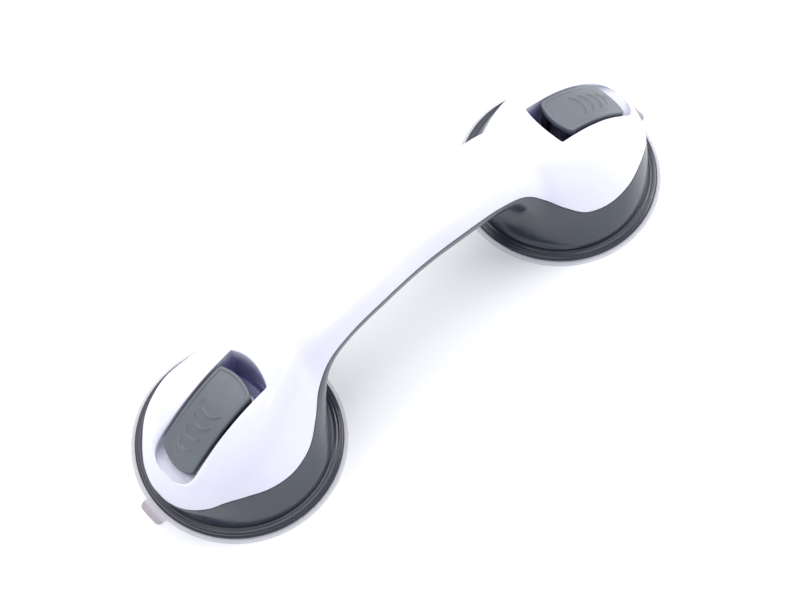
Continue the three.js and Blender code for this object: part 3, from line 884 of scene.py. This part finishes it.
# ---- Materials ----
def shader(name, color, roughness, **sockets):
    """A new material and its principled shader, with constants set on the shader's own sockets."""
    material = bpy.data.materials.new(name)
    material.use_nodes = True
    principled = material.node_tree.nodes["Principled BSDF"]
    principled.inputs["Base Color"].default_value = (*color, 1)
    principled.inputs["Roughness"].default_value = roughness
    for label, value in sockets.items():
        principled.inputs[label.replace("_", " ")].default_value = value
    return material, principled


def add(material, kind, settings=None, inputs=None):
    node = material.node_tree.nodes.new(kind)
    for label, value in (settings or {}).items():
        setattr(node, label, value)
    for label, value in (inputs or {}).items():
        node.inputs[label].default_value = value
    return node


def join(material, source, target):
    material.node_tree.links.new(source, target)


def object_noise(material, scale, detail=3, stretch=(1, 1, 1)):
    """Noise in the piece's own space; scale is in features for each metre."""
    where = add(material, "ShaderNodeTexCoord")
    mapping = add(material, "ShaderNodeMapping")
    mapping.inputs["Scale"].default_value = stretch
    noise = add(material, "ShaderNodeTexNoise", inputs={"Scale": scale, "Detail": detail})
    join(material, where.outputs["Object"], mapping.inputs["Vector"])
    join(material, mapping.outputs["Vector"], noise.inputs["Vector"])
    return noise.outputs["Fac"]


def varied(material, fac, target, low, high):
    """Drives a number by a noise between two values."""
    ends = {"From Min": 0.3, "From Max": 0.7, "To Min": low, "To Max": high}
    spread = add(material, "ShaderNodeMapRange", inputs=ends)
    join(material, fac, spread.inputs["Value"])
    join(material, spread.outputs["Result"], target)


def tinted(material, fac, target, low, high):
    """Drives a colour by a noise between two colours."""
    ramp = add(material, "ShaderNodeValToRGB")
    ramp.color_ramp.elements[0].position = 0.3
    ramp.color_ramp.elements[0].color = (*low, 1)
    ramp.color_ramp.elements[1].position = 0.7
    ramp.color_ramp.elements[1].color = (*high, 1)
    join(material, fac, ramp.inputs["Fac"])
    join(material, ramp.outputs["Color"], target)


def bumped(material, principled, fac, strength, distance_mm):
    bump = add(material, "ShaderNodeBump", inputs={"Strength": strength, "Distance": distance_mm * MM})
    join(material, fac, bump.inputs["Height"])
    join(material, bump.outputs["Normal"], principled.inputs["Normal"])


def gloss_plastic(name, low, high, roughness, coat):
    """Gloss moulded ABS: even colour, faint flow in the melt, and fine handling haze."""
    material, principled = shader(name, low, roughness, Coat_Weight=coat, Coat_Roughness=0.06, IOR=1.52)
    flow = object_noise(material, 18, 4, (1, 2.5, 2.5))
    tinted(material, flow, principled.inputs["Base Color"], low, high)
    haze = object_noise(material, 140, 6)
    varied(material, haze, principled.inputs["Roughness"], roughness * 0.8, roughness * 1.35)
    bumped(material, principled, object_noise(material, 260, 2), 0.06, 0.05)
    return material


def painted_recess_shade(material, deepest_shade):
    """Paints shade into a finish: darkens its colour towards a shade colour where the stored recess depth
    grows.
    """
    principled = material.node_tree.nodes["Principled BSDF"]
    stored = add(material, "ShaderNodeAttribute", {"attribute_name": "recess"})
    blend = add(material, "ShaderNodeMix", {"data_type": "RGBA", "blend_type": "MULTIPLY"})
    colour, deep = blend.inputs[6], blend.inputs[7]
    join(material, principled.inputs["Base Color"].links[0].from_socket, colour)
    deep.default_value = (*deepest_shade, 1)
    join(material, stored.outputs["Fac"], blend.inputs["Factor"])
    join(material, blend.outputs[2], principled.inputs["Base Color"])


def satin_plastic(name, low, high):
    """Satin moulded plastic with a fine spark-eroded grain."""
    material, principled = shader(name, low, 0.45, IOR=1.5)
    tinted(material, object_noise(material, 45, 4), principled.inputs["Base Color"], low, high)
    varied(material, object_noise(material, 160, 5), principled.inputs["Roughness"], 0.36, 0.5)
    bumped(material, principled, object_noise(material, 2600, 2), 0.22, 0.05)
    return material


def clear_pvc(name):
    """Clear soft PVC: denser where it is seen edge on, and tinted pink in the release tab."""
    low, high = (0.74, 0.72, 0.79), (0.82, 0.8, 0.86)
    material, principled = shader(name, low, 0.14, IOR=1.45)
    tinted(material, object_noise(material, 60, 3), principled.inputs["Base Color"], low, high)
    varied(material, object_noise(material, 220, 4), principled.inputs["Roughness"], 0.1, 0.26)
    bumped(material, principled, object_noise(material, 150, 3), 0.12, 0.08)
    edge = add(material, "ShaderNodeLayerWeight", inputs={"Blend": 0.35})
    dense = add(material, "ShaderNodeMapRange", inputs={"To Min": 0.16, "To Max": 0.9})
    join(material, edge.outputs["Facing"], dense.inputs["Value"])
    join(material, dense.outputs["Result"], principled.inputs["Alpha"])
    pink = add(material, "ShaderNodeMix", {"data_type": "RGBA", "blend_type": "MIX"})
    stored = add(material, "ShaderNodeAttribute", {"attribute_name": "tab"})
    join(material, stored.outputs["Fac"], pink.inputs["Factor"])
    join(material, principled.inputs["Base Color"].links[0].from_socket, pink.inputs[6])
    pink.inputs[7].default_value = (0.2, 0.1, 0.17, 1)
    join(material, pink.outputs[2], principled.inputs["Base Color"])
    return material


def acetal(name):
    """Acetal made near-black as painted shade for the dark pocket it stands in: waxy."""
    low, high = (0.012, 0.012, 0.014), (0.02, 0.02, 0.023)
    material, principled = shader(name, low, 0.4, IOR=1.48)
    tinted(material, object_noise(material, 90, 4), principled.inputs["Base Color"], low, high)
    varied(material, object_noise(material, 300, 4), principled.inputs["Roughness"], 0.34, 0.5)
    bumped(material, principled, object_noise(material, 900, 2), 0.1, 0.05)
    return material


def steel_darkened_for_shade(name):
    """Zinc-plated steel with fine drawn lines along one way; its colour is darkened as painted shade for
    the pocket round the cam plate and pin, and the screws share it.
    """
    low, high = (0.3, 0.3, 0.36), (0.42, 0.42, 0.48)
    material, principled = shader(name, low, 0.3, Metallic=1.0)
    tinted(material, object_noise(material, 240, 5), principled.inputs["Base Color"], low, high)
    varied(material, object_noise(material, 500, 4, (1, 8, 1)), principled.inputs["Roughness"], 0.22, 0.42)
    bumped(material, principled, object_noise(material, 900, 3, (0.4, 6, 0.4)), 0.18, 0.03)
    return material


def floor_white(name):
    low, high = (0.9, 0.9, 0.89), (0.92, 0.92, 0.91)
    material, principled = shader(name, low, 0.5)
    tinted(material, object_noise(material, 3, 2), principled.inputs["Base Color"], low, high)
    return material


# ---- The object ----
def build_shells():
    white = gloss_plastic("white_shell", (0.79, 0.79, 0.9), (0.82, 0.82, 0.92), 0.16, 0.35)
    # Painted shade: the pockets' insides darken towards violet with depth.
    painted_recess_shade(white, (0.42, 0.41, 0.72))
    grey = gloss_plastic("grey_shell", (0.032, 0.04, 0.056), (0.038, 0.047, 0.065), 0.2, 0.08)
    finished(upper_shell(), "upper_shell", white, "root")
    finished(shade(lower_wall()), "lower_shell", grey, "root")


def place_screws(source, end, steel):
    for number, (x, y) in enumerate(SCREW_PLACES, 1):
        moved = moved_copy(source, Matrix.Translation((x * MM, y * MM, 0)))
        finished(copy_to_end(moved, end), f"{end}_screw_{number}", steel, "root")
        bpy.data.objects.remove(moved)


def build_heads():
    ring_grey = gloss_plastic("grey_ring", (0.022, 0.025, 0.036), (0.027, 0.031, 0.044), 0.2, 0.08)
    lever_grey = satin_plastic("lever_grey", (0.125, 0.139, 0.155), (0.139, 0.155, 0.172))
    # Painted shade: the lever darkens down its sides.
    painted_recess_shade(lever_grey, (0.1, 0.1, 0.13))
    # Steel darkened as painted shade for the pocket round the cam plate and pin.
    steel = steel_darkened_for_shade("steel")
    kinds = [
        ("base_ring", base_ring(), ring_grey, "root", "grey_ring"),
        ("suction_cup", suction_cup(), clear_pvc("clear_cup"), "root", "clear_cup"),
        # The stem's near-black colour is painted shade for the pocket.
        ("pull_stem", pull_stem(), acetal("stem"), "stem", "stem"),
        ("cam_plate", cam_plate(), steel, "root", "steel"),
        ("lever", lever(), lever_grey, "lever", "lever_grey"),
        ("lever_pin", lever_pin(), steel, "lever", "steel"),
    ]
    one_screw = screw()
    for end in ENDS:
        for kind, source, material, body, slot in kinds:
            rides_on = body if body == "root" else f"{end}_{body}"
            piece = finished(copy_to_end(source, end), f"{end}_{kind}", material, rides_on)
            if kind == "suction_cup":
                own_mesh(piece)
        place_screws(one_screw, end, steel)
    for _, source, *_ in kinds:
        bpy.data.objects.remove(source)
    bpy.data.objects.remove(one_screw)


# ---- Studio ----
def add_floor():
    size = 4
    corners = [(-size, -size, 0), (size, -size, 0), (size, size, 0), (-size, size, 0)]
    mesh = bpy.data.meshes.new("floor")
    mesh.from_pydata(corners, [], [(0, 1, 2, 3)])
    mesh.materials.append(floor_white("floor"))
    made = bpy.data.objects.new("floor", mesh)
    bpy.context.scene.collection.objects.link(made)


def area_light(name, place, size, power, color):
    light = bpy.data.lights.new(name, "AREA")
    light.shape = "RECTANGLE"
    light.size, light.size_y = size
    light.energy = power
    light.color = color
    lamp = bpy.data.objects.new(name, light)
    lamp.location = place
    lamp.rotation_mode = "QUATERNION"
    lamp.rotation_quaternion = (-Vector(place)).to_track_quat("-Z", "Y")
    bpy.context.scene.collection.objects.link(lamp)


def add_lights():
    world = bpy.data.worlds.new("studio")
    world.use_nodes = True
    world.node_tree.nodes["Background"].inputs["Color"].default_value = (0.88, 0.89, 1, 1)
    world.node_tree.nodes["Background"].inputs["Strength"].default_value = 0.66
    bpy.context.scene.world = world
    bpy.context.scene.view_settings.view_transform = "Standard"
    area_light("key", (-0.15, 0.5, 1.15), (1.7, 1.3), 15, (1, 1, 1))
    area_light("fill", (0.75, -0.2, 0.6), (0.5, 0.5), 4.5, (1, 1, 1))
    area_light("strip", (0.2, -0.75, 0.75), (0.9, 0.05), 1.0, (0.85, 0.9, 1))


def add_camera():
    """The view from above the -y side, with the left head nearest."""
    azimuth, elevation, roll = (math.radians(a) for a in (-39.47, 64.08, -3.30))
    target = Vector((0, 0.00245, 0))
    distance = 0.9087
    level = math.cos(elevation)
    back = Vector((math.sin(azimuth) * level, -math.cos(azimuth) * level, math.sin(elevation)))
    right = Vector((0, 0, 1)).cross(back).normalized()
    up = back.cross(right)
    side = right * math.cos(roll) + up * math.sin(roll)
    over = up * math.cos(roll) - right * math.sin(roll)
    lens = bpy.data.cameras.new("camera")
    lens.lens = 89.8
    lens.sensor_width = 36
    lens.clip_start = 0.01
    camera = bpy.data.objects.new("camera", lens)
    turned = Matrix((side, over, back)).transposed().to_4x4()
    camera.matrix_world = Matrix.Translation(target + back * distance) @ turned
    bpy.context.scene.collection.objects.link(camera)
    bpy.context.scene.camera = camera


add_camera()
add_lights()
add_floor()
build_shells()
build_heads()
